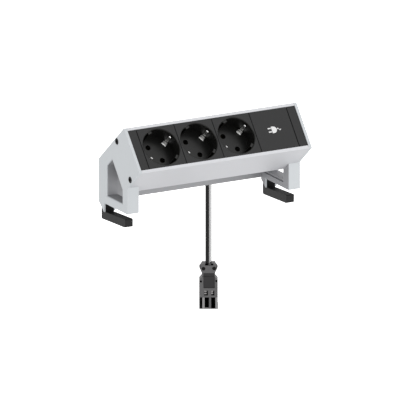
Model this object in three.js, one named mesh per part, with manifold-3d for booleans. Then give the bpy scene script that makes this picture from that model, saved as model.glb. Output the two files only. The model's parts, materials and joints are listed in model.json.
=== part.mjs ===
// Desk power strip: three round-socket modules and a blank module in a tilted
// aluminium extrusion, two end brackets that clamp over a desk's rear edge, and
// a short supply cord with a three-pole installation connector.
// Units mm. +X runs along the strip, +Y to the back of the desk, +Z up.
// Z = 0 is the desk top, Y = 0 is the desk's rear edge.
import * as THREE from 'three';
import { mergeVertices } from 'three/addons/utils/BufferGeometryUtils.js';
import Module from 'manifold-3d';

const wasm = await Module();
wasm.setup();

// ---------------------------------------------------------------- dimensions
const GAP = 0.3;                 // clearance kept between touching pieces

// section of the strip, measured along the panel (p, down from the apex) and
// square to it (q, into the body)
const TILT = 50;                 // panel angle from the horizontal, degrees
const APEX = [-40.7, 87.4];      // Y, Z of the top edge
const FACE = 50.7;               // panel face, lips included
const LIP = 3.2;                 // silver lip above and below the black panel
const BOX_DEPTH = 44.6;          // body depth square to the panel
const WALL = 2.0;                // extrusion wall
const REAR_Y = 11.2;             // rear plane
const REAR_WALL_BOTTOM = -0.9;   // lower edge of the rear wall
const LEDGE_Q = 3.7;             // rail that the module faces sit on
const LEDGE_T = 1.5;
const LEDGE_P = 4.35;
const PORT_Q = 22;               // screw ports of the end brackets
const PORT_P = [3.9, 46.8];
const PORT_R = 2.7;
const PORT_HOLE_R = 1.7;

// along the strip
const LENGTH = 195.7;            // over the end brackets
const PLATE = 3.2;               // end bracket plate
const LEG_W = 13;                // leg width
const PITCH = 42.5;              // module pitch
const BODY_HALF = LENGTH / 2 - PLATE - 0.1;

// bracket leg
const LEG_FRONT_Y = -48.4;
const EDGE_Y = 0;                // rear stop, on the desk's edge
const TONGUE_Z = -9.5;
const CHEEK = 1.8;
const WINDOW = [[-37.2, 8.4], [-4.9, 8.4], [-4.9, 39.6], [-16.0, 48.9], [-37.2, 23.0]];
const WINDOW_ROUND = 1.8;
const CHANNEL = { y0: -0.9, z1: 35 };
const POCKET = { z0: 38.5, z1: 42.2 };
const SPINDLE_Y = 4;

// clamp jaw
const JAW_W = 8.8;
const JAW_TOP = (y) => -7.75 - (2.2 * (y + 38.9)) / 38.35;   // the face that bears on the desk
const SPINDLE_R = 2.9;

// socket modules
const MODULE_W = 41.8;
const MODULE_H = 44.0;
const FACE_W = -0.4;             // module face, just under the lips
const FACE_T = 3.0;
const RECESS_R = 19.6;
const RIM = 0.75;                // chamfer round the recess
const RECESS_DEPTH = 17.2;
const FLOOR_T = 1.4;
const CUP_R = 20.7;
const PIN_PITCH = 19;
const PIN_HOLE_R = 2.75;
const PIN_DIR = 125;             // pin line, degrees from +X in the panel
const CLIP_DIR = 35;             // earth clip line
const RIB_DIR = [111, 318];      // guide ribs, near the ends of the pin line
const RIB_W = 4.3;
const RIB_R = 17.2;              // their inner faces
const CLIP_R = 18.0;             // inner side of the clip's arms
const CLIP_T = 0.9;
const CLIP_TIP = [16.3, -2.5];   // contact tip, radius and height
const CLIP_W = 3.6;
const FOOT_W = 5.2;
const SLEEVE_R = 3.2;
const SLEEVE_BORE_R = 2.45;
const SLEEVE_TOP = -26.4;

// supply cord and connector
const CORD_D = 6.3;
const CORD_Y = 20;
const CORD_Z = 30;
const CORD_X = 31.4;             // where it hangs
const CORD_BEND = 30;
const OUTLET_X = [-86, -69];
const RELIEF_END_X = -38.7;
const PLUG_TOP = -84.6;
const PLUG_BOTTOM = -131.0;
const PLUG_TURN = -28.7;         // the connector hangs turned about its cord

// ---------------------------------------------------------------- helpers
const rad = THREE.MathUtils.degToRad;
const cosT = Math.cos(rad(TILT)), sinT = Math.sin(rad(TILT));
const PQ = (p, q) => [APEX[0] - cosT * p + sinT * q, APEX[1] - sinT * p - cosT * q];

function solid(geometry) {
  let g = geometry.clone();
  g.deleteAttribute('normal');
  g.deleteAttribute('uv');
  g = mergeVertices(g, 1e-4);
  return new wasm.Manifold(new wasm.Mesh({
    numProp: 3,
    vertProperties: new Float32Array(g.attributes.position.array),
    triVerts: new Uint32Array(g.index.array),
  }));
}

function geometryOf(manifold) {
  const m = manifold.getMesh();
  const g = new THREE.BufferGeometry();
  g.setAttribute('position', new THREE.BufferAttribute(new Float32Array(m.vertProperties), 3));
  g.setIndex(new THREE.BufferAttribute(new Uint32Array(m.triVerts), 1));
  const flat = g.toNonIndexed();
  flat.computeVertexNormals();
  return flat;
}

const join = (a, ...rest) => rest.reduce((s, b) => s.add(b), a);
const cut = (a, ...rest) => rest.reduce((s, b) => s.subtract(b), a);

function outline(points) {
  return new THREE.Shape(points.map(([x, y]) => new THREE.Vector2(x, y)));
}

// an outline in (Y, Z), drawn along X from x0 to x1
const ALONG_X = new THREE.Matrix4().makeBasis(
  new THREE.Vector3(0, 1, 0), new THREE.Vector3(0, 0, 1), new THREE.Vector3(1, 0, 0));
function alongX(points, x0, x1) {
  const g = new THREE.ExtrudeGeometry(outline(points), { depth: x1 - x0, bevelEnabled: false });
  g.translate(0, 0, x0);
  g.applyMatrix4(ALONG_X);
  return solid(g);
}

// an outline in (X, Y), drawn along Z from z0 to z1
function alongZ(points, z0, z1) {
  const g = new THREE.ExtrudeGeometry(outline(points), { depth: z1 - z0, bevelEnabled: false });
  g.translate(0, 0, z0);
  return solid(g);
}

// an outline in (X, Z), drawn along Y from y0 to y1
function alongY(points, y0, y1) {
  const g = new THREE.ExtrudeGeometry(outline(points), { depth: y1 - y0, bevelEnabled: false });
  g.rotateX(Math.PI / 2);
  g.translate(0, y1, 0);
  return solid(g);
}

function box(x0, x1, y0, y1, z0, z1) {
  const g = new THREE.BoxGeometry(x1 - x0, y1 - y0, z1 - z0);
  g.translate((x0 + x1) / 2, (y0 + y1) / 2, (z0 + z1) / 2);
  return solid(g);
}

function cylinder(r, z0, z1, x = 0, y = 0, segments = 32, r1 = r) {
  const g = new THREE.CylinderGeometry(r1, r, z1 - z0, segments);
  g.rotateX(Math.PI / 2);
  g.translate(x, y, (z0 + z1) / 2);
  return solid(g);
}

function cylinderX(r, x0, x1, y, z, segments = 24, r1 = r) {
  const g = new THREE.CylinderGeometry(r1, r, x1 - x0, segments);
  g.rotateZ(-Math.PI / 2);
  g.translate((x0 + x1) / 2, y, z);
  return solid(g);
}

function cylinderY(r, y0, y1, x, z, segments = 24) {
  const g = new THREE.CylinderGeometry(r, r, y1 - y0, segments);
  g.translate(x, (y0 + y1) / 2, z);
  return solid(g);
}

// a block with rounded vertical edges
function roundedBlock(w, h, r, z0, z1, x = 0, y = 0) {
  const s = new THREE.Shape();
  s.moveTo(x - w / 2 + r, y - h / 2);
  s.lineTo(x + w / 2 - r, y - h / 2);
  s.absarc(x + w / 2 - r, y - h / 2 + r, r, -Math.PI / 2, 0);
  s.lineTo(x + w / 2, y + h / 2 - r);
  s.absarc(x + w / 2 - r, y + h / 2 - r, r, 0, Math.PI / 2);
  s.lineTo(x - w / 2 + r, y + h / 2);
  s.absarc(x - w / 2 + r, y + h / 2 - r, r, Math.PI / 2, Math.PI);
  s.lineTo(x - w / 2, y - h / 2 + r);
  s.absarc(x - w / 2 + r, y - h / 2 + r, r, Math.PI, Math.PI * 1.5);
  const g = new THREE.ExtrudeGeometry(s, { depth: z1 - z0, bevelEnabled: false, curveSegments: 4 });
  g.translate(0, 0, z0);
  return solid(g);
}

// a closed stack of equal polygons in (Y, Z), one per x
function stackX(rings) {
  const n = rings[0].points.length, pos = [], idx = [];
  for (const { x, points } of rings) for (const [y, z] of points) pos.push(x, y, z);
  for (let k = 0; k + 1 < rings.length; k++)
    for (let i = 0; i < n; i++) {
      const a = k * n + i, b = k * n + (i + 1) % n, c = a + n, d = b + n;
      idx.push(a, b, d, a, d, c);
    }
  const last = (rings.length - 1) * n;
  for (let i = 1; i + 1 < n; i++) {
    idx.push(0, i + 1, i);
    idx.push(last, last + i, last + i + 1);
  }
  const g = new THREE.BufferGeometry();
  g.setAttribute('position', new THREE.Float32BufferAttribute(pos, 3));
  g.setIndex(idx);
  return solid(g);
}

// a convex polygon (anticlockwise) grown outwards by d
function grown(points, d) {
  const n = points.length;
  const lines = points.map((a, i) => {
    const b = points[(i + 1) % n];
    const l = Math.hypot(b[0] - a[0], b[1] - a[1]);
    const nx = (b[1] - a[1]) / l, ny = -(b[0] - a[0]) / l;
    return [nx, ny, nx * a[0] + ny * a[1] + d];
  });
  return lines.map((l2, i) => {
    const l1 = lines[(i + n - 1) % n];
    const det = l1[0] * l2[1] - l1[1] * l2[0];
    return [(l1[2] * l2[1] - l2[2] * l1[1]) / det, (l1[0] * l2[2] - l2[0] * l1[2]) / det];
  });
}

const mirrored = (manifold, side) => (side > 0 ? manifold : manifold.mirror([1, 0, 0]));

// ---------------------------------------------------------------- materials
const material = (color, roughness, metalness) =>
  new THREE.MeshStandardMaterial({ color, roughness, metalness });
const silver = material(0xc9cbce, 0.45, 0.6);
const blackPlastic = material(0x2a2a2c, 0.55, 0);
const blackMetal = material(0x1e1e20, 0.5, 0.2);
const insulator = material(0xd8d6cf, 0.5, 0);
const brass = material(0xb08d4a, 0.35, 1);
const steel = material(0xb9bcc0, 0.3, 1);
const rubber = material(0x1b1b1c, 0.7, 0);
const connectorGrey = material(0x3a3a3c, 0.5, 0);

const strip = new THREE.Group();
function add(parent, name, shape, mat) {
  const mesh = new THREE.Mesh(shape.isBufferGeometry ? shape : geometryOf(shape), mat);
  mesh.name = name;
  parent.add(mesh);
  return mesh;
}

// ---------------------------------------------------------------- extrusion
const portCentres = PORT_P.map((p) => PQ(p, PORT_Q));
{
  const innerTopAtRear = APEX[1] - (REAR_Y - WALL - APEX[0]) * (cosT / sinT) - WALL / sinT;
  const rearTop = APEX[1] - (REAR_Y - APEX[0]) * (cosT / sinT);
  const section = [
    PQ(0.45, 0), PQ(LIP, 0), PQ(LIP, LEDGE_Q), PQ(LEDGE_P, LEDGE_Q),
    PQ(LEDGE_P, LEDGE_Q + LEDGE_T), PQ(WALL, LEDGE_Q + LEDGE_T),
    PQ(WALL, BOX_DEPTH - WALL), PQ(FACE - WALL, BOX_DEPTH - WALL),
    PQ(FACE - WALL, LEDGE_Q + LEDGE_T), PQ(FACE - LEDGE_P, LEDGE_Q + LEDGE_T),
    PQ(FACE - LEDGE_P, LEDGE_Q), PQ(FACE - LIP, LEDGE_Q), PQ(FACE - LIP, 0),
    PQ(FACE - 0.45, 0), PQ(FACE, 0.45), PQ(FACE, BOX_DEPTH), PQ(WALL, BOX_DEPTH),
    [REAR_Y - WALL, innerTopAtRear], [REAR_Y - WALL, REAR_WALL_BOTTOM],
    [REAR_Y, REAR_WALL_BOTTOM], [REAR_Y, rearTop - 0.5],
    [REAR_Y - 0.45, rearTop - 0.5 + 0.88], PQ(0, 0.45),
  ];
  let body = alongX(section, -BODY_HALF, BODY_HALF);
  for (const [y, z] of portCentres)
    body = body.add(cylinderX(PORT_R, -BODY_HALF, BODY_HALF, y, z, 20));
  for (const [y, z] of portCentres)
    body = body.subtract(cylinderX(PORT_HOLE_R, -BODY_HALF - 1, BODY_HALF + 1, y, z, 16));
  // slot in the box's back for the busbar tails
  const slot = solid(new THREE.BoxGeometry(4, 23, 6).translate(-75.6, 0, -(BOX_DEPTH - WALL / 2)));
  body = body.subtract(slot.rotate([TILT, 0, 0]).translate([0, ...PQ(FACE / 2, 0)]));
  // supply hole in the rear wall
  body = body.subtract(cylinderY(3.7, REAR_Y - WALL - 1, REAR_Y + 1, -77.5, CORD_Z, 20));
  // holes for the outlet's two screws
  for (const x of [-83.4, -71.6])
    body = body.subtract(cylinderY(1.2, REAR_Y - WALL - 1, REAR_Y + 1, x, CORD_Z - 5.2, 12));
  add(strip, 'body_profile', body, silver);
}

// ---------------------------------------------------------------- end brackets
const half = LENGTH / 2;
function bracket() {
  const under = (y) => APEX[1] - sinT * FACE - ((y - (APEX[0] - cosT * FACE)) * cosT) / sinT;
  const rearTop = APEX[1] - (REAR_Y - APEX[0]) * (cosT / sinT);
  const bevel = (y) => TONGUE_Z + ((y - EDGE_Y) * (REAR_WALL_BOTTOM - TONGUE_Z)) / REAR_Y;
  const plate = alongX([
    PQ(0, 0.45), PQ(0.45, 0), PQ(FACE - 0.45, 0), PQ(FACE, 0.45),
    [LEG_FRONT_Y, under(LEG_FRONT_Y)], [LEG_FRONT_Y, 0.4], [LEG_FRONT_Y + 0.4, 0],
    [EDGE_Y, 0], [EDGE_Y, TONGUE_Z], [REAR_Y, REAR_WALL_BOTTOM], [REAR_Y, rearTop - 0.5],
    [REAR_Y - 0.45, rearTop - 0.12],
  ], half - PLATE, half);
  // the leg's inner part stands under the box and inside the rear wall
  const pBox = FACE + 0.08, qBox = BOX_DEPTH + GAP, pTop = WALL + GAP, yBack = REAR_Y - WALL - GAP;
  const onFront = APEX[1] - (LEG_FRONT_Y - APEX[0]) * (cosT / sinT) - pBox / sinT;
  const onBack = APEX[1] - (yBack - APEX[0]) * (cosT / sinT) - pTop / sinT;
  const leg = alongX([
    [LEG_FRONT_Y, 0.4], [LEG_FRONT_Y + 0.4, 0], [EDGE_Y, 0], [EDGE_Y, TONGUE_Z],
    [yBack, bevel(yBack)], [yBack, onBack], PQ(pTop, qBox), PQ(pBox, qBox),
    [LEG_FRONT_Y, onFront],
  ], half - LEG_W, half - PLATE);
  let b = plate.add(leg);
  // window, with its outer edge rounded
  const rings = [{ x: half - LEG_W - 1, points: WINDOW }];
  for (const a of [90, 60, 30, 0]) {
    const t = WINDOW_ROUND * (1 - Math.sin(rad(90 - a)));
    rings.push({
      x: half - (a === 90 ? WINDOW_ROUND : t),
      points: grown(WINDOW, WINDOW_ROUND * (1 - Math.sin(rad(a)))),
    });
  }
  rings.push({ x: half + 1, points: grown(WINDOW, WINDOW_ROUND) });
  b = b.subtract(stackX(rings));
  // channel of the jaw's stem, open to the rear and below
  const c0 = half - LEG_W + CHEEK, c1 = half - CHEEK, mid = half - LEG_W / 2;
  b = b.subtract(box(c0, c1, CHANNEL.y0, yBack + 0.1, -14, CHANNEL.z1));
  b = b.subtract(box(c0, half - PLATE, CHANNEL.y0, yBack + 1, -14, CHANNEL.z1));
  b = b.subtract(box(c0, c1, yBack, REAR_Y + 1, -14, REAR_WALL_BOTTOM + 1.2));
  // spindle's bearing slot and the pocket for its collar
  b = b.subtract(box(mid - 5, mid + 4.2, CHANNEL.y0, yBack + 0.1, POCKET.z0, POCKET.z1));
  b = b.subtract(cylinder(3.3, CHANNEL.z1 - 1, POCKET.z0 + 1, mid, SPINDLE_Y, 24));
  b = b.subtract(box(mid - 3.3, mid + 3.3, SPINDLE_Y, yBack + 0.1, CHANNEL.z1 - 1, POCKET.z0 + 1));
  // shallow groove along the rail's inner side
  b = b.subtract(box(half - LEG_W - 1, half - LEG_W + 1.2, -36.8, 3, 5.5, 7.1));
  // screw seats
  for (const [y, z] of portCentres) {
    b = b.subtract(cylinderX(2.2, half - PLATE - 1, half + 1, y, z, 20));
    b = b.subtract(cylinderX(3.35, half - 1.9, half + 1, y, z, 24));
  }
  return b;
}
for (const side of [-1, 1]) {
  const where = side < 0 ? 'left' : 'right';
  add(strip, `${where}_end_bracket`, mirrored(bracket(), side), silver);
}

// end screws: cheese heads with a hex socket
for (const side of [-1, 1]) {
  const where = side < 0 ? 'left' : 'right';
  portCentres.forEach(([y, z], k) => {
    let s = cylinderX(3.1, half - 1.6, half + 0.35, y, z, 24);
    s = s.add(cylinderX(1.55, half - 14, half - 1.0, y, z, 12));
    s = s.subtract(cylinderX(1.5, half - 0.9, half + 1, y, z, 6));
    add(strip, `end_screw_${where}_${k ? 'lower' : 'upper'}`, mirrored(s, side), blackMetal);
  });
}

// ---------------------------------------------------------------- clamps
for (const side of [-1, 1]) {
  const where = side < 0 ? 'left' : 'right';
  const mid = half - LEG_W / 2;
  let jaw = alongX([
    [-39.7, -15.2], [-38.9, -16.0], [7.9, -18.45], [9.1, -17.4], [9.1, -7.0], [8.6, -6.4],
    [8.6, 34.4], [-0.55, 34.4], [-0.55, -10.5], [-1.15, -10.5],
    [-1.15, JAW_TOP(-1.15)], [-38.9, JAW_TOP(-38.9)], [-39.7, -8.5],
  ], mid - JAW_W / 2, mid + JAW_W / 2);
  jaw = jaw.subtract(cylinder(SPINDLE_R + GAP, -22, 36, mid, SPINDLE_Y, 20));
  add(strip, `${where}_clamp_jaw`, mirrored(jaw, side), blackMetal);
  let spindle = join(
    cylinder(SPINDLE_R, -13.5, 39.5, mid, SPINDLE_Y, 16),
    cylinder(4.0, POCKET.z0 + GAP, 41.4, mid, SPINDLE_Y, 20),
    cylinder(SPINDLE_R - 0.6, -15, -13.4, mid, SPINDLE_Y, 16),
  );
  spindle = spindle.subtract(cylinder(1.5, -16, -11.5, mid, SPINDLE_Y, 6));
  add(strip, `${where}_clamp_spindle`, mirrored(spindle, side), steel);
}

// ---------------------------------------------------------------- modules
// the panel's own frame: x along the strip, y up the slope, z out of the panel
const panel = new THREE.Group();
panel.position.set(0, ...PQ(FACE / 2, 0));
panel.rotation.x = rad(TILT);
strip.add(panel);

const FLOOR_W = FACE_W - RECESS_DEPTH;         // recess floor
const CUP_BACK = FLOOR_W - FLOOR_T;
const polar = (r, a) => [r * Math.cos(rad(a)), r * Math.sin(rad(a))];

function socketHousing(u) {
  let h = box(u - MODULE_W / 2, u + MODULE_W / 2, -MODULE_H / 2, MODULE_H / 2, FACE_W - FACE_T, FACE_W);
  h = h.add(cylinder(CUP_R, CUP_BACK, FACE_W - FACE_T + 0.5, u, 0, 64));
  h = h.subtract(cylinder(RECESS_R - 0.25, FLOOR_W, FACE_W + 1, u, 0, 64, RECESS_R));
  h = h.subtract(cylinder(RECESS_R - 0.1, FACE_W - RIM - 0.1, FACE_W + 0.1, u, 0, 64, RECESS_R + RIM));
  for (const s of [1, -1]) {
    const [px, py] = polar(s * PIN_PITCH / 2, PIN_DIR);
    h = h.subtract(cylinder(PIN_HOLE_R, CUP_BACK - 1, FLOOR_W + 1, u + px, py, 24));
  }
  // guide ribs on the wall
  for (const dir of RIB_DIR) {
    let rib = solid(new THREE.BoxGeometry(4.0, RIB_W, RECESS_DEPTH - 1.6)
      .translate(RIB_R + 2.0, 0, FLOOR_W + (RECESS_DEPTH - 1.6) / 2));
    rib = rib.rotate([0, 0, dir]).translate([u, 0, 0]);
    h = h.add(rib.intersect(cylinder(CUP_R - 0.2, FLOOR_W - 0.4, FACE_W - 1.6, u, 0, 64)));
  }
  // floor slots that the earth clip's arms come up through
  for (const dir of [CLIP_DIR, CLIP_DIR + 180]) {
    const slot = solid(new THREE.BoxGeometry(1.5, CLIP_W + 0.6, FLOOR_T + 2)
      .translate(18.45, 0, FLOOR_W - FLOOR_T / 2));
    h = h.subtract(slot.rotate([0, 0, dir]).translate([u, 0, 0]));
  }
  return h;
}

// an outline in (radius, height), drawn square to the clip line
function clipPiece(points, width, u) {
  const g = new THREE.ExtrudeGeometry(outline(points), { depth: width, bevelEnabled: false });
  g.rotateX(Math.PI / 2);
  g.translate(0, width / 2, 0);
  g.rotateZ(rad(CLIP_DIR));
  g.translate(u, 0, 0);
  return solid(g);
}

function earthClip(u) {
  // one strip: a cross strip under the floor with a tail, and two arms with
  // inward contact tips and a foot on the floor
  const base = CUP_BACK - GAP, r0 = CLIP_R, r1 = CLIP_R + CLIP_T, [rt, wt] = CLIP_TIP;
  const flip = (points) => points.map(([r, w]) => [-r, w]).reverse();
  const arm = [
    [r0, base - 0.4], [r1, base - 0.4], [r1, -4.9], [rt + 0.95, wt + 0.55], [rt + 0.3, wt + 0.75],
    [rt - 0.1, wt + 0.2], [rt, wt - 0.5], [r0, -5.4],
  ];
  const foot = [[14.1, -16.9], [r0 + 0.2, -16.9], [r0 + 0.2, -16.0], [14.5, -16.0], [14.1, -16.3]];
  const cross = [
    [-r1, base - CLIP_T], [-1.2, base - CLIP_T], [-1.2, -32.6], [1.2, -32.6], [1.2, base - CLIP_T],
    [r1, base - CLIP_T], [r1, base], [-r1, base],
  ];
  return join(clipPiece(cross, 4.6, u),
    clipPiece(arm, CLIP_W, u), clipPiece(flip(arm), CLIP_W, u),
    clipPiece(foot, FOOT_W, u), clipPiece(flip(foot), FOOT_W, u));
}

function carrier(u) {
  let c = roundedBlock(36, 34, 2, -31.2, -21.2, u, 0);
  for (const [a, b] of [[13, -12.6], [-13, 12.6], [5, 14.2], [-5, -14.2]])
    c = c.add(box(u + a - 1.6, u + a + 1.6, b - 1.6, b + 1.6, -22, CUP_BACK - GAP));
  for (const s of [1, -1]) {
    const [px, py] = polar(s * PIN_PITCH / 2, PIN_DIR);
    c = c.subtract(cylinder(SLEEVE_R + GAP, -33, -18, u + px, py, 24));
  }
  const relief = solid(new THREE.BoxGeometry(3.4, 5.4, 14).translate(0, 0, -26))
    .rotate([0, 0, CLIP_DIR]).translate([u, 0, 0]);
  return c.subtract(relief);
}

const centres = [-1.5 * PITCH, -0.5 * PITCH, 0.5 * PITCH];
centres.forEach((u, k) => {
  const n = k + 1;
  add(panel, `socket_housing_${n}`, socketHousing(u), blackPlastic);
  add(panel, `contact_carrier_${n}`, carrier(u), insulator);
  add(panel, `earth_clip_${n}`, earthClip(u), steel);
  [['line', 1], ['neutral', -1]].forEach(([pole, s]) => {
    const [px, py] = polar(s * PIN_PITCH / 2, PIN_DIR);
    const sleeve = cylinder(SLEEVE_R, -32.6, SLEEVE_TOP, u + px, py, 20)
      .subtract(cylinder(SLEEVE_BORE_R, -31.4, SLEEVE_TOP + 1, u + px, py, 20));
    add(panel, `${pole}_sleeve_${n}`, sleeve, brass);
  });
});

// busbars, each with a tail through the box's back
[['line', 7.78], ['earth', 0], ['neutral', -7.78]].forEach(([pole, v]) => {
  const bar = alongY([
    [-76, -33.9], [-76, -50], [-75.1, -50], [-75.1, -33.9], [32, -33.9], [32, -33.0], [-76, -33.0],
  ], v - 2.5, v + 2.5);
  add(panel, `${pole}_busbar`, bar, brass);
});

// supply terminal block, on the back of the box
{
  let t = roundedBlock(26, 28, 1.5, -58.6, -BOX_DEPTH - GAP, -71, 0);
  for (const v of [7.78, 0, -7.78])
    t = t.subtract(box(-77, -74, v - 3.0, v + 3.0, -51.5, -BOX_DEPTH));
  add(panel, 'terminal_block', t, insulator);
}

// blank module: face and skirt
{
  const u = 1.5 * PITCH;
  let b = box(u - MODULE_W / 2, u + MODULE_W / 2, -MODULE_H / 2, MODULE_H / 2, FACE_W - FACE_T, FACE_W);
  b = b.add(box(u - 19, u + 19, -20, 20, -14, FACE_W - 1));
  b = b.subtract(box(u - 17.4, u + 17.4, -18.4, 18.4, -15, FACE_W - 2.2));
  add(panel, 'blank_module', b, blackPlastic);
}

// end trims
for (const side of [-1, 1]) {
  const u0 = 2 * PITCH + 0.35, u1 = half - PLATE - 0.2;
  let t = box(u0, u1, -MODULE_H / 2, MODULE_H / 2, FACE_W - FACE_T, FACE_W);
  t = t.add(box(u0 + 1, u1 - 0.6, -19.5, 19.5, -9, FACE_W - 1));
  t = t.subtract(box(u0 + 2.4, u1 - 2.0, -18, 18, -10, FACE_W - 2));
  add(panel, `${side < 0 ? 'left' : 'right'}_end_trim`, mirrored(t, side), blackPlastic);
}

// ---------------------------------------------------------------- supply
{
  const [x0, x1] = OUTLET_X;
  const y0 = REAR_Y + GAP, y1 = 27, z0 = CORD_Z - 8, z1 = CORD_Z + 8;
  let o = alongX([[y0, z0], [y1 - 2, z0], [y1, z0 + 2], [y1, z1 - 2], [y1 - 2, z1], [y0, z1]], x0, x1);
  o = o.subtract(cylinderY(3.6, y0 - 1, 18, -77.5, CORD_Z, 20));
  for (const x of [-83.4, -71.6]) {
    o = o.subtract(cylinderY(1.5, y0 - 1, y1 + 1, x, z0 + 2.8, 12));
    o = o.subtract(cylinderY(2.2, y1 - 4, y1 + 1, x, z0 + 2.8, 12));
    const s = cylinderY(2.0, y1 - 3.9, y1 - 2.3, x, z0 + 2.8, 12)
      .add(cylinderY(1.0, REAR_Y - WALL - 2, y1 - 3, x, z0 + 2.8, 10));
    add(strip, `outlet_screw_${x < -80 ? 'left' : 'right'}`, s, steel);
  }
  add(strip, 'cable_outlet', o, blackPlastic);
  add(strip, 'inner_cable', cylinderY(3.25, -8.5, 17.7, -77.5, CORD_Z, 12), rubber);
  // tapered bend relief with rings
  let r = cylinderX(5.6, x1 + GAP, RELIEF_END_X, CORD_Y, CORD_Z, 20, 4.3);
  for (let k = 0; k < 5; k++) {
    const x = x1 + 6 + k * 4.6;
    const outer = 5.6 - (1.3 * (x - x1)) / (RELIEF_END_X - x1) + 0.5;
    r = r.subtract(cylinderX(outer, x, x + 1.5, CORD_Y, CORD_Z, 20)
      .subtract(cylinderX(outer - 1.2, x - 0.5, x + 2, CORD_Y, CORD_Z, 20)));
  }
  add(strip, 'bend_relief', r, rubber);
}

// cord clip on the rear wall
{
  const x0 = -19, x1 = -11;
  let c = box(x0, x1, REAR_Y + GAP, 13.2, CORD_Z - 9, CORD_Z + 9);
  c = c.add(box(x0, x1, 13, 16.4, CORD_Z - 3, CORD_Z + 3));
  c = c.add(cylinderX(5.3, x0, x1, CORD_Y, CORD_Z, 24));
  c = c.subtract(cylinderX(CORD_D / 2 + GAP, x0 - 1, x1 + 1, CORD_Y, CORD_Z, 24));
  c = c.subtract(box(x0 - 1, x1 + 1, CORD_Y + 2.8, CORD_Y + 7, CORD_Z - 1.6, CORD_Z + 1.6));
  add(strip, 'cord_clip', c, blackPlastic);
}

// supply cord: along the wall, round the bend and down
class Route extends THREE.Curve {
  constructor() {
    super();
    this.x0 = RELIEF_END_X + GAP;
    this.x1 = CORD_X - CORD_BEND;
    this.run = this.x1 - this.x0;
    this.arc = (Math.PI / 2) * CORD_BEND;
    this.drop = CORD_Z - CORD_BEND - (PLUG_TOP + GAP);
  }
  getPoint(t, target = new THREE.Vector3()) {
    let s = t * (this.run + this.arc + this.drop);
    if (s <= this.run) return target.set(this.x0 + s, CORD_Y, CORD_Z);
    s -= this.run;
    if (s <= this.arc) {
      const a = s / CORD_BEND;
      return target.set(this.x1 + CORD_BEND * Math.sin(a), CORD_Y, CORD_Z - CORD_BEND * (1 - Math.cos(a)));
    }
    return target.set(CORD_X, CORD_Y, CORD_Z - CORD_BEND - (s - this.arc));
  }
}
{
  const section = outline(Array.from({ length: 10 }, (_, i) =>
    [(CORD_D / 2) * Math.cos((i * Math.PI) / 5), (CORD_D / 2) * Math.sin((i * Math.PI) / 5)]));
  add(strip, 'supply_cord', new THREE.ExtrudeGeometry(section, {
    steps: 26, bevelEnabled: false, extrudePath: new Route(),
  }), rubber);
}

// ---------------------------------------------------------------- connector
const plug = new THREE.Group();
plug.position.set(CORD_X, CORD_Y, 0);
plug.rotation.z = rad(PLUG_TURN);
strip.add(plug);
{
  const split = -97.6;
  // strain relief cap: a waisted block with an ear on each side
  let cap = alongY([
    [-6.2, split + GAP], [6.2, split + GAP], [6.2, -96.0], [7.9, -90.0], [7.4, -86.4],
    [6.6, PLUG_TOP], [-6.6, PLUG_TOP], [-7.4, -86.4], [-7.9, -90.0], [-6.2, -96.0],
  ], -5.6, 5.6);
  cap = cap.add(alongY([
    [-6.1, -95.8], [6.1, -95.8], [9.0, -89.4], [9.3, -87.8], [7.6, -85.8], [6.5, PLUG_TOP - 0.4],
    [-6.5, PLUG_TOP - 0.4], [-7.6, -85.8], [-9.3, -87.8], [-9.0, -89.4],
  ], -2.8, 2.8));
  // notch in front of the cord, the sunk panel's upper end and the screw wells
  cap = cap.subtract(box(-3.4, 4.9, -7, -3.6, -86.2, PLUG_TOP + 1));
  cap = cap.subtract(box(-5.0, 7.0, -7, -5.0, split - 1, -94.0));
  const screws = [[-5.0, -89.4], [5.6, -89.1]];
  for (const [a, z] of screws) cap = cap.subtract(cylinderY(1.9, -6.6, -3.6, a, z, 20));
  add(plug, 'plug_cap', cap, connectorGrey);
  screws.forEach(([a, z], k) => {
    let s = cylinderY(1.65, -4.9, -3.9, a, z, 16);
    s = s.subtract(box(a - 2.5, a + 2.5, -6, -4.5, z - 0.3, z + 0.3));
    add(plug, `plug_screw_${k ? 'right' : 'left'}`, s, steel);
  });
  // housing: shoulders, a sunk panel, two latch windows, three coding slots and ribs between them
  let h = alongY([
    [-6.3, split], [-9.3, -101.0], [-9.3, PLUG_BOTTOM + 0.4], [-9.0, PLUG_BOTTOM],
    [9.2, PLUG_BOTTOM], [9.6, PLUG_BOTTOM + 0.5], [9.6, -127.6], [9.3, -127.0], [9.3, -101.0],
    [6.3, split],
  ], -6.0, 6.0);
  h = h.subtract(box(-5.0, 6.3, -7, -5.1, -109.4, -96));
  for (const [a0, a1] of [[-4.3, -0.6], [2.6, 5.9]]) h = h.subtract(box(a0, a1, -7, -4.2, -117.0, -112.0));
  for (const [a, z] of [[-7.5, -102.5], [7.9, -102.1]]) h = h.subtract(cylinderY(1.1, -7, -4.0, a, z, 14));
  for (const [a0, a1] of [[-6.0, -3.9], [0.7, 2.5], [7.0, 9.1]])
    h = h.add(box(a0, a1, -6.3, -5.5, PLUG_BOTTOM + 0.6, -119.0));
  const chambers = [-6.35, 0, 6.35];
  for (const a of chambers) h = h.subtract(box(a - 2.1, a + 2.1, -2.3, 4.6, PLUG_BOTTOM - 1, -117.5));
  for (const [a0, a1, foot] of [[-8.5, -6.2, 0.8], [-3.7, 0.5, 1.7], [2.7, 6.8, 0.8]])
    h = h.subtract(box(a0, a1, -7, -3.2, PLUG_BOTTOM + foot, -119.0));
  add(plug, 'plug_housing', h, connectorGrey);
  chambers.forEach((a, k) => {
    const c = cylinder(1.5, PLUG_BOTTOM + 1.5, -117.5 - GAP, a, 0, 12)
      .subtract(cylinder(0.9, PLUG_BOTTOM, -121, a, 0, 12));
    add(plug, `plug_contact_${k + 1}`, c, brass);
  });
}

export default strip;
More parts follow.
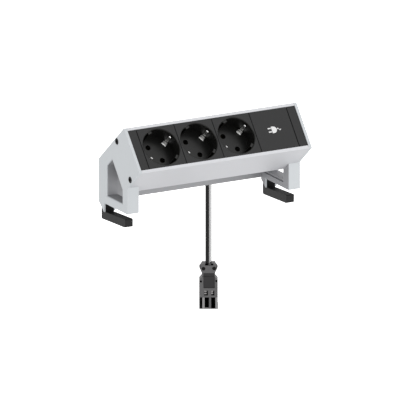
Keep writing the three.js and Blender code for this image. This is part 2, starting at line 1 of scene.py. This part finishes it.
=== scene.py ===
# Looks of the desk power strip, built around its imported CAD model.
# Metres, in the model's own frame: +X along the strip, +Y to the back of the
# desk, +Z up, Z = 0 on the desk top, Y = 0 at the desk's rear edge.
import json
import math

import bmesh
import bpy
import numpy as np
from mathutils import Matrix, Vector

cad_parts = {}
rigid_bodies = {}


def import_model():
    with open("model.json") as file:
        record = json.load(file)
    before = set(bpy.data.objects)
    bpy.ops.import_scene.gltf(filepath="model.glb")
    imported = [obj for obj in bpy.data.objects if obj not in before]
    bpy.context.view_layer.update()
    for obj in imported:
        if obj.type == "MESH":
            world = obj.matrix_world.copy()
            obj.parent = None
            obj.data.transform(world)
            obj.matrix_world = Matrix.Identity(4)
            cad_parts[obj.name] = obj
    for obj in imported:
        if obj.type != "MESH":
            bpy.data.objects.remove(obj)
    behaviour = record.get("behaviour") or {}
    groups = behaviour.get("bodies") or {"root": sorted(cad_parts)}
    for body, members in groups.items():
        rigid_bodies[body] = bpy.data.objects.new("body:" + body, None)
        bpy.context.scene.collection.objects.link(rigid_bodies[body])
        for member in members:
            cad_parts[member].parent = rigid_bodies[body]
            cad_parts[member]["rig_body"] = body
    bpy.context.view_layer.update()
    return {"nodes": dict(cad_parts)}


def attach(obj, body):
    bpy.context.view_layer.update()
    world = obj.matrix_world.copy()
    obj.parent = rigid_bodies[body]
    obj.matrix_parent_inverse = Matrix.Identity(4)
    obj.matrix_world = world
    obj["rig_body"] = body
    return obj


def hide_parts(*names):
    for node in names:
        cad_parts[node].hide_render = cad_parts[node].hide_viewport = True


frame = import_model()
MM = 0.001
S = bpy.context.scene
COL = S.collection

# ------------------------------------------------------------------ camera
AZ, EL = math.radians(-28.7), math.radians(16.1)
back = Vector((math.sin(AZ) * math.cos(EL), -math.cos(AZ) * math.cos(EL), math.sin(EL)))
cam_data = bpy.data.cameras.new("camera")
cam_data.type = "ORTHO"
cam_data.ortho_scale = 0.40746
cam_data.clip_start, cam_data.clip_end = 0.01, 20
cam = bpy.data.objects.new("camera", cam_data)
cam.location = Vector((0.000121, -0.030, -0.008133)) + back * 2.0
cam.rotation_euler = back.to_track_quat("Z", "Y").to_euler()
COL.objects.link(cam)
S.camera = cam

# ------------------------------------------------------------------ supply cord
# the route of the CAD tube: out of the bend relief, along the rear wall
# through its clip, round the bend and down to the connector
CORD_D = 6.3
CORD_Y, CORD_Z, CORD_X, BEND = 20.0, 30.0, 31.4, 30.0
X_START, X_BEND, Z_END = -38.4, 1.4, -84.3


def route(n=40):
    run, arc, drop = X_BEND - X_START, math.pi / 2 * BEND, CORD_Z - BEND - Z_END
    total = run + arc + drop
    points = []
    for k in range(n):
        s = total * k / (n - 1)
        if s <= run:
            points.append((X_START + s, CORD_Y, CORD_Z))
        elif s <= run + arc:
            a = (s - run) / BEND
            points.append((X_BEND + BEND * math.sin(a), CORD_Y, CORD_Z - BEND * (1 - math.cos(a))))
        else:
            points.append((CORD_X, CORD_Y, CORD_Z - BEND - (s - run - arc)))
    return points, total


def curve_object(name, points, radius, resolution=6):
    data = bpy.data.curves.new(name, "CURVE")
    data.dimensions = "3D"
    data.bevel_depth = radius * MM
    data.bevel_resolution = resolution
    data.use_fill_caps = True
    data.resolution_u = 6
    spline = data.splines.new("POLY")
    spline.points.add(len(points) - 1)
    for p, (x, y, z) in zip(spline.points, points):
        p.co = (x * MM, y * MM, z * MM, 1)
    o = bpy.data.objects.new(name, data)
    COL.objects.link(o)
    return o


cord_points, cord_length = route()
cord = curve_object("supply_cord_sheath", cord_points, CORD_D / 2, 8)

# ------------------------------------------------------------------ materials


def new_material(name):
    m = bpy.data.materials.new(name)
    m.use_nodes = True
    nt = m.node_tree
    return m, nt, nt.nodes["Principled BSDF"]


def node(nt, kind, **values):
    n = nt.nodes.new(kind)
    for k, v in values.items():
        if k.startswith("in_"):
            n.inputs[k[3:].replace("_", " ")].default_value = v
        else:
            setattr(n, k, v)
    return n


def grain(nt, bsdf, colour_a, colour_b, scale, rough_a, rough_b, bump=0.0, distance=0.00002,
          mottle_scale=60.0, detail=4.0, wear=None):
    """Fine noise for the surface's grain, with a broad mottle in its colour."""
    coord = node(nt, "ShaderNodeTexCoord")
    fine = node(nt, "ShaderNodeTexNoise", in_Scale=scale, in_Detail=detail, in_Roughness=0.6)
    broad = node(nt, "ShaderNodeTexNoise", in_Scale=mottle_scale, in_Detail=3.0, in_Roughness=0.55)
    nt.links.new(coord.outputs["Object"], fine.inputs["Vector"])
    nt.links.new(coord.outputs["Object"], broad.inputs["Vector"])
    ramp = node(nt, "ShaderNodeMix", data_type="RGBA")
    ramp.inputs[6].default_value = (*colour_a, 1)
    ramp.inputs[7].default_value = (*colour_b, 1)
    mixed = node(nt, "ShaderNodeMath", operation="ADD")
    half_fine = node(nt, "ShaderNodeMath", operation="MULTIPLY")
    half_fine.inputs[1].default_value = 0.45
    half_broad = node(nt, "ShaderNodeMath", operation="MULTIPLY")
    half_broad.inputs[1].default_value = 0.55
    nt.links.new(fine.outputs["Fac"], half_fine.inputs[0])
    nt.links.new(broad.outputs["Fac"], half_broad.inputs[0])
    nt.links.new(half_fine.outputs[0], mixed.inputs[0])
    nt.links.new(half_broad.outputs[0], mixed.inputs[1])
    nt.links.new(mixed.outputs[0], ramp.inputs["Factor"])
    nt.links.new(ramp.outputs[2], bsdf.inputs["Base Color"])
    rough = node(nt, "ShaderNodeMapRange")
    rough.inputs["From Min"].default_value = 0.3
    rough.inputs["From Max"].default_value = 0.7
    rough.inputs["To Min"].default_value = rough_a
    rough.inputs["To Max"].default_value = rough_b
    nt.links.new(fine.outputs["Fac"], rough.inputs["Value"])
    nt.links.new(rough.outputs[0], bsdf.inputs["Roughness"])
    if bump:
        b = node(nt, "ShaderNodeBump", in_Strength=bump, in_Distance=distance)
        nt.links.new(fine.outputs["Fac"], b.inputs["Height"])
        nt.links.new(b.outputs["Normal"], bsdf.inputs["Normal"])
    return fine, broad


def silver(name, metallic=0.35, tone=1.0, tint=(0.585, 0.590, 0.612)):
    m, nt, b = new_material(name)
    c = [v * tone for v in tint]
    grain(nt, b, [v * 0.97 for v in c], [v * 1.03 for v in c], 2600, 0.42, 0.50, 0.12, 0.00001, 45)
    b.inputs["Metallic"].default_value = metallic
    b.inputs["Specular IOR Level"].default_value = 0.5
    return m


def plastic(name, colour, rough=0.5, bump=0.25, scale=1700, spec=0.5):
    m, nt, b = new_material(name)
    grain(nt, b, [v * 0.86 for v in colour], [v * 1.14 for v in colour], scale, rough - 0.06, rough + 0.06,
          bump, 0.00003, 90)
    b.inputs["Specular IOR Level"].default_value = spec
    return m


def metal(name, colour, rough=0.25, bump=0.06, scale=900):
    m, nt, b = new_material(name)
    grain(nt, b, [v * 0.94 for v in colour], [min(1, v * 1.05) for v in colour], scale, rough - 0.05,
          rough + 0.08, bump, 0.00001, 200)
    b.inputs["Metallic"].default_value = 1.0
    return m


M = {
    "anodised": silver("anodised_aluminium"),
    # painted shade: the aluminium at 0.6 of its tone, for the faces under and behind the body
    "anodised_painted_shade": silver("aluminium_painted_shade", 0.35, 0.60),
    "cast": silver("cast_silver", tint=(0.570, 0.594, 0.612)),
    # painted shade: the casting at 0.56 of its tone, for the brackets' inner faces
    "cast_painted_shade": silver("casting_painted_shade", 0.3, 0.56, (0.580, 0.585, 0.612)),
    "module": plastic("module_plastic", (0.009, 0.009, 0.0095), 0.38, 0.25, 2100, 0.38),
    # painted shade: a darker black than the module, for the socket recesses
    "recess": plastic("recess_painted_shade", (0.0042, 0.0042, 0.0036), 0.34, 0.1, 2100, 0.35),
    "jaw": plastic("jaw_coating", (0.010, 0.010, 0.010), 0.45, 0.6, 1300, 0.28),
    # painted shade: near black, for the jaw's stem
    "jaw_stem_painted_shade": plastic("stem_painted_shade", (0.004, 0.004, 0.004), 0.5, 0.2, 1500, 0.12),
    # painted shade: a little darker and duller than the jaw, for the arm's top faces
    "jaw_top_painted_shade": plastic("jaw_top_painted_shade", (0.009, 0.009, 0.009), 0.6, 0.5, 1500, 0.22),
    "screw": plastic("black_oxide", (0.003, 0.003, 0.003), 0.5, 0.1, 1500, 0.2),
    "steel": metal("plated_steel", (0.95, 0.95, 0.94), 0.36),
    # painted shade: the steel at about 0.4 of its tone, for the clip's arms
    "steel_shade": metal("clip_arm_painted_shade", (0.40, 0.40, 0.39), 0.34),
    # painted shade: brass darkened to about a third of its tone, for the contacts down in the sockets
    "brass": metal("brass_painted_shade", (0.30, 0.24, 0.13), 0.35),
    "insulator": plastic("insulator_plastic", (0.012, 0.012, 0.012), 0.5, 0.1, 900, 0.3),
    "rubber": plastic("cord_sheath", (0.004, 0.004, 0.004), 0.16, 0.05, 1400, 0.24),
    "connector": plastic("connector_plastic", (0.093, 0.091, 0.093), 0.42, 0.2, 1600),
    "connector_smooth": plastic("connector_smooth", (0.012, 0.011, 0.012), 0.35, 0.05, 1600, 0.40),
    # painted shade: near black with no sheen, for the connector's slots, windows, dots and notch
    "connector_dark": plastic("connector_painted_shade", (0.0006, 0.0006, 0.0006), 0.8, 0.05, 1600, 0.0),
    # painted highlight: the aluminium at 1.08 of its tone
    "lip": silver("edge_painted_highlight", 0.35, 1.08),
    "bore": plastic("bore_shadow_plastic", (0.0004, 0.0004, 0.0004), 0.8, 0.05, 1600, 0.0),
    # painted highlight: a lighter grey than the housing, for the ribs' front faces
    "connector_rib_painted_highlight": plastic("connector_rib_painted_highlight", (0.25, 0.245, 0.247), 0.42, 0.2, 1600),
    # painted highlight: light grey, for the latch blocks
    "latch": plastic("latch_painted_highlight", (0.30, 0.29, 0.29), 0.45, 0.05, 1600),
    "print": plastic("white_print", (0.78, 0.78, 0.78), 0.6, 0.05, 1600),
}
SLOT = {
    "anodised": "anodised_aluminium", "cast": "cast_silver", "module": "black_plastic",
    "recess": "black_plastic", "jaw": "black_metal", "screw": "black_screw", "steel": "steel",
    "brass": "brass", "insulator": "insulator", "rubber": "cord_rubber",
    "connector": "connector_plastic", "print": "black_plastic",
}


def paint(o, key):
    o.data.materials.clear()
    o.data.materials.append(M[key])
    return o


# ------------------------------------------------------------------ refining


def refined(cad_node, name, key, bevel=0.3, segments=3, angle=28, body=None, smooth=32, weigh=True):
    """A copy of a CAD node's mesh with its faces merged, its edges rounded and its curves shaded smooth."""
    src = frame["nodes"][cad_node]
    bm = bmesh.new()
    bm.from_mesh(src.data)
    bmesh.ops.remove_doubles(bm, verts=bm.verts, dist=0.000004)
    bmesh.ops.dissolve_limit(bm, angle_limit=math.radians(0.6), verts=bm.verts, edges=bm.edges)
    bmesh.ops.recalc_face_normals(bm, faces=bm.faces)
    me = bpy.data.meshes.new(name)
    bm.to_mesh(me)
    bm.free()
    o = bpy.data.objects.new(name, me)
    COL.objects.link(o)
    if bevel:
        mod = o.modifiers.new("edges", "BEVEL")
        mod.width = bevel * MM
        mod.segments = segments
        mod.limit_method = "ANGLE"
        mod.angle_limit = math.radians(angle)
        mod.use_clamp_overlap = True
        mod.harden_normals = False
    finish_mesh(o, smooth)
    if weigh:
        flat_faces(o)
    paint(o, key)
    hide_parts(cad_node)
    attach(o, body or frame["nodes"][cad_node]["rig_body"])
    return o


def finish_mesh(o, smooth=32):
    """Applies the modifiers and shades by angle."""
    bpy.context.view_layer.update()
    dg = bpy.context.evaluated_depsgraph_get()
    me = bpy.data.meshes.new_from_object(o.evaluated_get(dg))
    o.modifiers.clear()
    o.data = me
    for p in me.polygons:
        p.use_smooth = True
    if smooth:
        me.set_sharp_from_angle(angle=math.radians(smooth))
    return o


def flat_faces(o):
    """Weights the shading by face area, so that a large face stays flat up to its rounded edge."""
    mod = o.modifiers.new("normals", "WEIGHTED_NORMAL")
    mod.weight = 90
    mod.keep_sharp = True
    bpy.context.view_layer.update()
    dg = bpy.context.evaluated_depsgraph_get()
    me = bpy.data.meshes.new_from_object(o.evaluated_get(dg))
    o.modifiers.clear()
    o.data = me


def split(o, point, across):
    """Cuts an edge loop round a mesh in a plane, so that its faces can differ either side of it."""
    bm = bmesh.new()
    bm.from_mesh(o.data)
    bmesh.ops.bisect_plane(bm, geom=bm.verts[:] + bm.edges[:] + bm.faces[:], plane_co=point, plane_no=across)
    bm.to_mesh(o.data)
    bm.free()


def assign(o, key, test):
    """Gives the faces that pass the test another material; centre and normal are in the row frame, mm."""
    o.data.materials.append(M[key])
    k = len(o.data.materials) - 1
    for p in o.data.polygons:
        if test(p.center * 1000.0, p.normal):
            p.material_index = k


HALF = 97.85                     # the brackets' outer faces
PITCH = 42.5
MODULES = (-1.5 * PITCH, -0.5 * PITCH, 0.5 * PITCH)
TILT = math.radians(50)
PANEL_Y, PANEL_Z = -56.9947, 67.9808


def to_panel(c):
    """Row frame, mm, to the panel's own frame."""
    y, z = c[1] - PANEL_Y, c[2] - PANEL_Z
    return c[0], y * math.cos(TILT) + z * math.sin(TILT), -y * math.sin(TILT) + z * math.cos(TILT)


def from_panel(u, v, w):
    return Vector((u, PANEL_Y + v * math.cos(TILT) - w * math.sin(TILT),
                   PANEL_Z + v * math.sin(TILT) + w * math.cos(TILT))) * MM


def solid_from(name, boxes, key, place, bevel=0.15):
    """One mesh of small blocks, given by their low and high corners in a local frame."""
    bm = bmesh.new()
    for (x0, y0, z0), (x1, y1, z1) in boxes:
        vs = [bm.verts.new(place(x, y, z)) for x in (x0, x1) for y in (y0, y1) for z in (z0, z1)]
        for f in ((0, 1, 3, 2), (4, 6, 7, 5), (0, 4, 5, 1), (2, 3, 7, 6), (0, 2, 6, 4), (1, 5, 7, 3)):
            bm.faces.new([vs[i] for i in f])
    bmesh.ops.recalc_face_normals(bm, faces=bm.faces)
    me = bpy.data.meshes.new(name)
    bm.to_mesh(me)
    bm.free()
    o = bpy.data.objects.new(name, me)
    COL.objects.link(o)
    mod = o.modifiers.new("edges", "BEVEL")
    mod.width = bevel * MM
    mod.segments = 2
    finish_mesh(o, 30)
    return paint(o, key) if key in SLOT else o


CLIP_A = math.radians(35)


def clip_polar(du, dv):
    return (du * math.cos(CLIP_A) + dv * math.sin(CLIP_A), -du * math.sin(CLIP_A) + dv * math.cos(CLIP_A))


def taper_clip(o, u0):
    """Narrows a clip's arms towards their tips and rounds their edges."""
    bm = bmesh.new()
    bm.from_mesh(o.data)
    a = math.radians(35)
    for vert in bm.verts:
        u, v, w = to_panel(vert.co * 1000.0)
        du, dv = u - u0, v
        r, t = du * math.cos(a) + dv * math.sin(a), -du * math.sin(a) + dv * math.cos(a)
        if w > -15.5:
            t *= 0.62 + 0.45 * min(1.0, max(0.0, (-w - 2.0) / 12.0))
            vert.co = from_panel(u0 + r * math.cos(a) - t * math.sin(a), r * math.sin(a) + t * math.cos(a), w)
    bm.to_mesh(o.data)
    bm.free()
    mod = o.modifiers.new("edges", "BEVEL")
    mod.width = 0.22 * MM
    mod.segments = 3
    mod.limit_method = "ANGLE"
    mod.angle_limit = math.radians(30)
    finish_mesh(o, 40)


body = refined("body_profile", "body_shell", "anodised", 0.35)
# painted shade: the rear wall's inner face and the body's undersides take the darker aluminium
assign(body, "anodised_painted_shade", lambda c, n: n.y < -0.9 and c.y > 8.5 or n.z < -0.9)


def on_lip(c, n):
    _u, v, w = to_panel(c)
    return w > -0.3 and abs(v) > 21.9


# painted highlight: the lips' faces beside the panel take the lighter aluminium
assign(body, "lip", on_lip)
for side in ("left", "right"):
    bracket = refined(f"{side}_end_bracket", f"{side}_bracket_casting", "cast", 0.3)
    inward = 1 if side == "left" else -1
    # painted shade: the brackets' inward faces and the faces inside their windows take the darker casting
    assign(bracket, "cast_painted_shade", lambda c, n: (n.x * inward > 0.7 and abs(c.x) < HALF - 1)
           or (abs(n.x) < 0.2 and abs(c.x) < HALF - 1.7 and -47 < c.y < 10.5 and 0.5 < c.z < 50))
    jaw = refined(f"{side}_clamp_jaw", f"{side}_jaw_casting", "jaw", 0.6, weigh=False)
    split(jaw, Vector((0, 0, -0.0096)), Vector((0, 0, 1)))
    flat_faces(jaw)
    # painted shade: the stem near black and the arm's top faces a little darker, both standing in for shade
    assign(jaw, "jaw_stem_painted_shade", lambda c, n: c.z > -9.6 and c.y > -2)
    # painted shade: the arm's top faces a little darker than its sides
    assign(jaw, "jaw_top_painted_shade", lambda c, n: n.z > 0.9 and c.z < -5 and c.y < -2)
    refined(f"{side}_end_trim", f"{side}_trim_cover", "module", 0.25)
    for row in ("upper", "lower"):
        refined(f"end_screw_{side}_{row}", f"{side}_{row}_screw", "screw", 0.25)
for n in (1, 2, 3):
    housing = refined(f"socket_housing_{n}", f"socket_{n}_moulding", "module", 0.25, 2)
    centre_u = MODULES[n - 1]

    def in_recess(c, _n, u0=centre_u):
        u, v, w = to_panel(c)
        return math.hypot(u - u0, v) < 20.2 and w < -0.75

    def in_bore(c, _n, u0=centre_u):
        u, v, w = to_panel(c)
        p = (9.5 * math.cos(math.radians(125)), 9.5 * math.sin(math.radians(125)))
        return w < -17.3 and any(math.hypot(u - u0 - s * p[0], v - s * p[1]) < 3.3 for s in (1, -1))

    # painted shade: the recess walls and floor take the darker black
    assign(housing, "recess", in_recess)
    assign(housing, "bore", in_bore)
    clip = refined(f"earth_clip_{n}", f"earth_clip_{n}_strip", "steel", 0.0, weigh=False)
    taper_clip(clip, centre_u)

    def on_arm(c, _n, u0=centre_u):
        u, v, w = to_panel(c)
        r, t = clip_polar(u - u0, v)
        return -14.8 < w < -4.6 or (w < -4.6 and abs(r) > 17.9 and w > -16.0)

    # painted shade: the clip's arms take the darker steel, while the foot and tip stay bright
    assign(clip, "steel_shade", on_arm)
    marks = []
    for end in (1, -1):
        for t0, t1, w0, w1 in ((-1.75, 1.75, -14.9, -13.9), (-0.55, 0.55, -9.6, -8.5)):
            marks.append(((17.86 * end, t0, w0), (18.0 * end, t1, w1)))
        marks.append(((14.9 * end, -0.12, -16.02), (17.8 * end, 0.12, -15.9)))

    def on_clip(r, t, w, u0=centre_u):
        return from_panel(u0 + r * math.cos(CLIP_A) - t * math.sin(CLIP_A),
                          r * math.sin(CLIP_A) + t * math.cos(CLIP_A), w)

    slits = solid_from(f"earth_clip_{n}_slits", marks, "screw", on_clip, 0.03)
    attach(slits, "strip")
refined("blank_module", "blank_cover", "module", 0.25)
refined("cable_outlet", "cable_outlet_cover", "module", 0.5)
refined("cord_clip", "cord_clip_moulding", "module", 0.3)
refined("bend_relief", "bend_relief_moulding", "rubber", 0.25)
cap = refined("plug_cap", "plug_cap_moulding", "connector", 0.3, weigh=False)
plug = refined("plug_housing", "plug_housing_moulding", "connector", 0.25)
PLUG_TURN = math.radians(-28.7)


def to_plug(c):
    """Row frame, mm, to the connector's own frame: a across its front, d to its back."""
    x, y = c[0] - CORD_X, c[1] - CORD_Y
    return (x * math.cos(PLUG_TURN) + y * math.sin(PLUG_TURN),
            -x * math.sin(PLUG_TURN) + y * math.cos(PLUG_TURN), c[2])


def from_plug(a, d, z):
    return Vector((CORD_X + a * math.cos(PLUG_TURN) - d * math.sin(PLUG_TURN),
                   CORD_Y + a * math.sin(PLUG_TURN) + d * math.cos(PLUG_TURN), z)) * MM


def in_plug(a0, a1, d0, d1, z0, z1):
    def test(c, n):
        a, d, z = to_plug(c)
        return a0 < a < a1 and d0 < d < d1 and z0 < z < z1
    return test


assign(plug, "connector_smooth", in_plug(-5.05, 6.35, -5.95, -5.0, -109.45, -96.5))
assign(cap, "connector_smooth", in_plug(-5.05, 6.5, -5.55, -4.9, -98.0, -93.9))
# painted shade: near black in the slots at the bottom of the connector
for a0, a1 in ((-8.5, -6.2), (-3.7, 0.5), (2.7, 6.8)):
    assign(plug, "connector_dark", in_plug(a0 - 0.05, a1 + 0.05, -5.9, -3.1, -131, -118.9))
# painted highlight: the ribs' front faces take the lighter grey
for a0, a1 in ((-6.0, -3.9), (7.0, 9.1)):
    assign(plug, "connector_rib_painted_highlight", in_plug(a0 - 0.1, a1 + 0.1, -6.35, -6.02, -131, -118.8))
# painted shade: near black in the latch windows
for a0, a1 in ((-4.3, -0.6), (2.6, 5.9)):
    assign(plug, "connector_dark", in_plug(a0 - 0.05, a1 + 0.05, -5.9, -4.1, -117.1, -111.9))
# painted shade: near black in the dots on the housing
for a, z in ((-7.5, -102.5), (7.9, -102.1)):
    assign(plug, "connector_dark", in_plug(a - 1.15, a + 1.15, -5.9, -3.9, z - 1.15, z + 1.15))
# painted shade: near black in the dots on the cap
for a, z in ((-5.0, -89.4), (5.6, -89.1)):
    assign(cap, "connector_dark", in_plug(a - 1.95, a + 1.95, -5.5, -3.5, z - 1.95, z + 1.95))
for a in (0.1, 2.5):
    split(cap, from_plug(a, 0, 0), (from_plug(1, 0, 0) - from_plug(0, 0, 0)).normalized())
flat_faces(cap)
# painted shade: near black on the notch's back wall either side of the cord
for a0, a1 in ((-3.5, 0.12), (2.48, 5.0)):
    assign(cap, "connector_dark", in_plug(a0, a1, -3.7, -3.5, -86.4, -80))


# painted highlight: the latch blocks are a light grey inside the dark latch windows
latches = solid_from("plug_latches", [
    ((-4.2, -5.8, -113.4), (-1.9, -4.0, -112.2)), ((-4.2, -5.8, -115.7), (-1.9, -4.0, -114.5)),
    ((2.7, -5.8, -113.2), (4.6, -4.0, -112.1)), ((3.0, -5.5, -114.7), (3.9, -4.0, -113.0)),
    ((2.7, -5.8, -115.6), (4.6, -4.0, -114.4)),
], None, from_plug)
latches.data.materials.append(M["latch"])
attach(latches, "strip")

# ------------------------------------------------------------------ pictogram
# a generic mains plug, printed on the blank module


def pictogram(name, polygons, u0, v0, low, high):
    bm = bmesh.new()
    for outline in polygons:
        bottom = [bm.verts.new(from_panel(u0 + u, v0 + v, low)) for u, v in outline]
        top = [bm.verts.new(from_panel(u0 + u, v0 + v, high)) for u, v in outline]
        bm.faces.new(top)
        bm.faces.new(list(reversed(bottom)))
        for i in range(len(outline)):
            j = (i + 1) % len(outline)
            bm.faces.new([bottom[i], bottom[j], top[j], top[i]])
    bmesh.ops.recalc_face_normals(bm, faces=bm.faces)
    me = bpy.data.meshes.new(name)
    bm.to_mesh(me)
    bm.free()
    o = bpy.data.objects.new(name, me)
    COL.objects.link(o)
    paint(o, "print")
    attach(o, "strip")
    return o


arc = [(-0.6 + 3.6 * math.sin(math.radians(t)), 3.6 * math.cos(math.radians(t))) for t in range(0, 181, 15)]
wave = [(3.2 + 4.4 * k / 12, 1.0 * math.sin(2 * math.pi * k / 12)) for k in range(13)]
cable = [(u, v + 0.45) for u, v in wave] + [(u, v - 0.45) for u, v in reversed(wave)]
pictogram("plug_pictogram", [
    [(-2.6, 3.6)] + arc + [(-2.6, -3.6)],
    [(-6.6, 1.3), (-6.6, 2.5), (-3.0, 2.5), (-3.0, 1.3)],
    [(-6.6, -2.5), (-6.6, -1.3), (-3.0, -1.3), (-3.0, -2.5)],
    cable,
], 63.75, 0.0, -0.46, -0.34)

for n, o in frame["nodes"].items():
    if o.hide_render:
        continue
    if "plug_screw" in n:
        paint(o, "screw")
    elif "spindle" in n or "screw" in n:
        paint(o, "steel")
    # painted shade: the sleeves, busbar and contacts take the darkened brass
    elif "sleeve" in n or "busbar" in n or "plug_contact" in n:
        paint(o, "brass")
    elif "carrier" in n or n == "terminal_block":
        paint(o, "insulator")
    elif n == "inner_cable":
        paint(o, "rubber")

# ------------------------------------------------------------------ cord
cord.data.materials.append(M["rubber"])
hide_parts("supply_cord")
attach(cord, "strip")

# ------------------------------------------------------------------ stage
S.view_settings.view_transform = "Standard"
S.view_settings.look = "None"
world = bpy.data.worlds.new("studio")
S.world = world
world.use_nodes = True
wnt = world.node_tree
bg = wnt.nodes["Background"]
bg.inputs["Strength"].default_value = 1.0
sky = node(wnt, "ShaderNodeTexCoord")
split = node(wnt, "ShaderNodeSeparateXYZ")
shade = node(wnt, "ShaderNodeMapRange")
shade.inputs["From Min"].default_value = -0.7
shade.inputs["From Max"].default_value = 0.5
shade.inputs["To Min"].default_value = 0.95
shade.inputs["To Max"].default_value = 0.80
wnt.links.new(sky.outputs["Generated"], split.inputs[0])
wnt.links.new(split.outputs["Z"], shade.inputs["Value"])
wnt.links.new(shade.outputs[0], bg.inputs["Color"])


def area(name, place, target, size, power, colour=(1, 1, 1)):
    data = bpy.data.lights.new(name, "AREA")
    data.size = size
    data.energy = power
    data.color = colour
    o = bpy.data.objects.new(name, data)
    o.location = place
    o.rotation_euler = (Vector(place) - Vector(target)).to_track_quat("Z", "Y").to_euler()
    COL.objects.link(o)
    return o


area("key", (0.9, -0.7, 1.5), (0, -0.03, 0.03), 1.0, 3)
area("front", (-0.8, -1.8, 0.0), (0, -0.03, 0.03), 1.4, 3.2)
area("left", (-1.8, -0.5, 0.3), (0, -0.03, 0.03), 1.0, 5)
rim = area("right", (1.2, -0.75, -0.05), (0.03, 0.02, -0.03), 0.8, 5.5)
rim.data.shape = "RECTANGLE"
rim.data.size_y = 0.8

edge = area("cord_edge", (0.82, -0.98, -0.42), (0.0314, 0.02, -0.04), 2.4, 54.0)
edge.data.shape = "RECTANGLE"
edge.data.size_y = 0.30
hanging = bpy.data.collections.new("hanging_lead")
hanging.objects.link(cord)
edge.light_linking.receiver_collection = hanging

floor_me = bpy.data.meshes.new("floor")
floor_me.from_pydata([(-6, -6, 0), (6, -6, 0), (6, 6, 0), (-6, 6, 0)], [], [(0, 1, 2, 3)])
floor = bpy.data.objects.new("floor", floor_me)
floor.location = (0, 0, -0.5)
COL.objects.link(floor)
fm, fnt, fb = new_material("floor")
fb.inputs["Base Color"].default_value = (0.95, 0.95, 0.95, 1)
fb.inputs["Roughness"].default_value = 0.9
fb.inputs["Emission Color"].default_value = (1, 1, 1, 1)
fb.inputs["Emission Strength"].default_value = 1.0
floor.visible_diffuse = False
floor.visible_glossy = False
floor.visible_shadow = False
floor_me.materials.append(fm)
